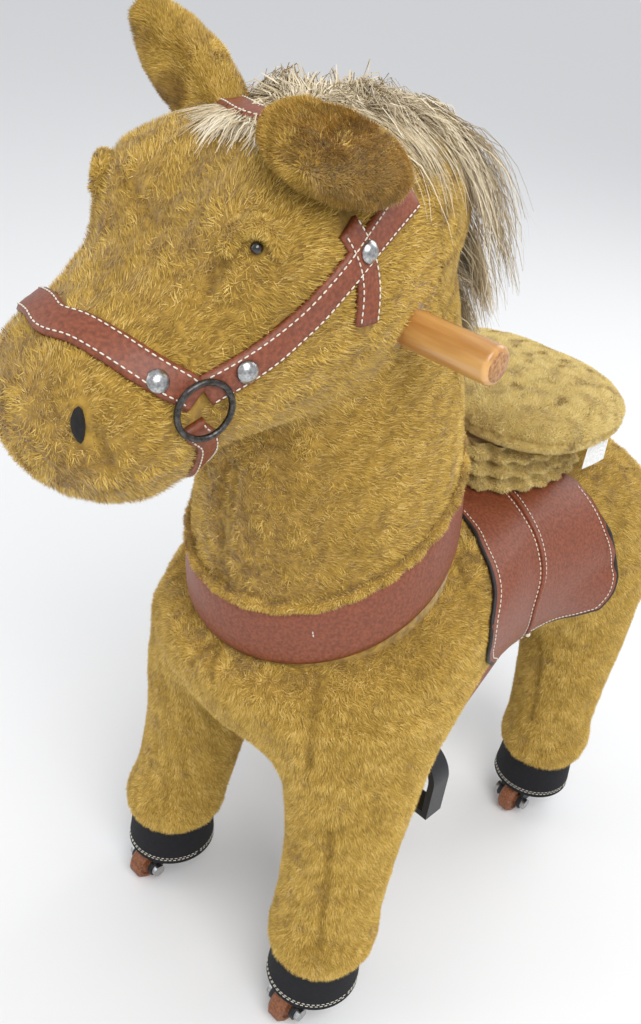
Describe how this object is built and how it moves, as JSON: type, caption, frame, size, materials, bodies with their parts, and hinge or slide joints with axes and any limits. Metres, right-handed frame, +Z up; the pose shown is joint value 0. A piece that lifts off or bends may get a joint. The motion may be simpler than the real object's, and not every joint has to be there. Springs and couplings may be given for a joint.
{
  "type": "ride-on plush pony",
  "caption": "Plush ride-on pony on wheels: the sprung seat spreads the leg frames to roll it forward, and a handle through the neck steers the front legs.",
  "frame": {"origin": "on the floor, under the middle of the whole pony's box", "axes": "+Z up, the pony faces -Y, its left side is +X"},
  "size_m": [0.324, 0.7668, 0.8996],
  "materials": {
    "plush": "matte",
    "seat_plush": "matte",
    "hair": "matte",
    "leather": "satin",
    "cuff_fabric": "matte",
    "tag_cloth": "matte",
    "steel_frame": "satin",
    "steel_strip": "satin",
    "bright_steel": "polished",
    "dark_nickel": "satin",
    "hoof_plastic": "matte",
    "stirrup_plastic": "matte",
    "wheel_rubber": "satin",
    "handle_wood": "gloss",
    "board_wood": "matte",
    "eye_gloss": "gloss",
    "nose_patch": "matte"
  },
  "bodies": {
    "chassis": {"spine_tube": "steel_frame", "front_bracket": "steel_frame", "rear_bracket": "steel_frame", "shoulder_axle": "bright_steel", "bracket_bolts": "bright_steel", "stirrup_hangers": "steel_strip", "stirrup_straps": "leather", "stirrup_left": "stirrup_plastic", "stirrup_right": "stirrup_plastic", "torso_padding": "plush", "saddle_flap_left": "leather", "saddle_flap_right": "leather", "tail": "hair"},
    "front_frame": {"front_yoke": "steel_frame", "chest_padding": "plush"},
    "steering": {"steering_column": "bright_steel", "fork_crown": "steel_frame", "front_leg_tubes": "steel_frame", "front_leg_padding_left": "plush", "front_leg_padding_right": "plush", "front_hoof_left": "hoof_plastic", "front_hoof_right": "hoof_plastic", "front_cuff_left": "cuff_fabric", "front_cuff_right": "cuff_fabric", "front_axles": "bright_steel", "neck_padding": "plush", "head_padding": "plush", "ear_left": "plush", "ear_right": "plush", "eyes": "eye_gloss", "nostrils": "nose_patch", "mane": "hair", "breast_collar": "leather", "noseband": "leather", "crown_strap": "leather", "cheek_straps": "leather", "bridle_rings": "dark_nickel", "bridle_studs": "bright_steel", "handle": "handle_wood", "handle_clamp": "steel_frame", "handle_cuffs": "plush"},
    "rear_frame": {"rear_yoke": "steel_frame", "rear_leg_tubes": "steel_frame", "rear_leg_padding_left": "plush", "rear_leg_padding_right": "plush", "rear_hoof_left": "hoof_plastic", "rear_hoof_right": "hoof_plastic", "rear_cuff_left": "cuff_fabric", "rear_cuff_right": "cuff_fabric", "rear_axles": "bright_steel"},
    "seat": {"seat_post": "bright_steel", "seat_board": "board_wood", "seat_cushion": "seat_plush", "seat_skirt": "seat_plush", "seat_tag": "tag_cloth", "return_spring": "bright_steel"},
    "wheel_front_left": {"wheel_front_left": "wheel_rubber"},
    "wheel_front_right": {"wheel_front_right": "wheel_rubber"},
    "wheel_rear_left": {"wheel_rear_left": "wheel_rubber"},
    "wheel_rear_right": {"wheel_rear_right": "wheel_rubber"}
  },
  "joints": [
    {"name": "front_swing", "type": "hinge", "parent": "chassis", "child": "front_frame", "pos_m": [0, -0.075, 0.45], "axis": [-1, 0, 0], "range_deg": [0, 12], "stiffness_Nm_per_rad": 45, "springref_deg": -11.46},
    {"name": "rear_swing", "type": "hinge", "parent": "chassis", "child": "rear_frame", "pos_m": [0, 0.255, 0.45], "axis": [1, 0, 0], "range_deg": [0, 12]},
    {"name": "seat_press", "type": "slide", "parent": "chassis", "child": "seat", "axis": [0, 0, -1], "range_m": [0, 0.03527], "deforming": ["return_spring", "seat_skirt"]},
    {"name": "steer", "type": "hinge", "parent": "front_frame", "child": "steering", "pos_m": [0, -0.132, 0.724], "axis": [0, 0.0523, 0.9986], "range_deg": [-15, 15]},
    {"name": "wheel_front_left_spin", "type": "hinge", "parent": "steering", "child": "wheel_front_left", "pos_m": [0.113, -0.174, 0.02], "axis": [1, 0, 0], "continuous": true},
    {"name": "wheel_front_right_spin", "type": "hinge", "parent": "steering", "child": "wheel_front_right", "pos_m": [-0.113, -0.174, 0.02], "axis": [1, 0, 0], "continuous": true},
    {"name": "wheel_rear_left_spin", "type": "hinge", "parent": "rear_frame", "child": "wheel_rear_left", "pos_m": [0.102, 0.236, 0.02], "axis": [1, 0, 0], "continuous": true},
    {"name": "wheel_rear_right_spin", "type": "hinge", "parent": "rear_frame", "child": "wheel_rear_right", "pos_m": [-0.102, 0.236, 0.02], "axis": [1, 0, 0], "continuous": true}
  ],
  "couplings": [
    {"joint": "rear_swing", "follows": "front_swing", "ratio": 1},
    {"joint": "seat_press", "follows": "front_swing", "m_per_rad": 0.16746}
  ]
}
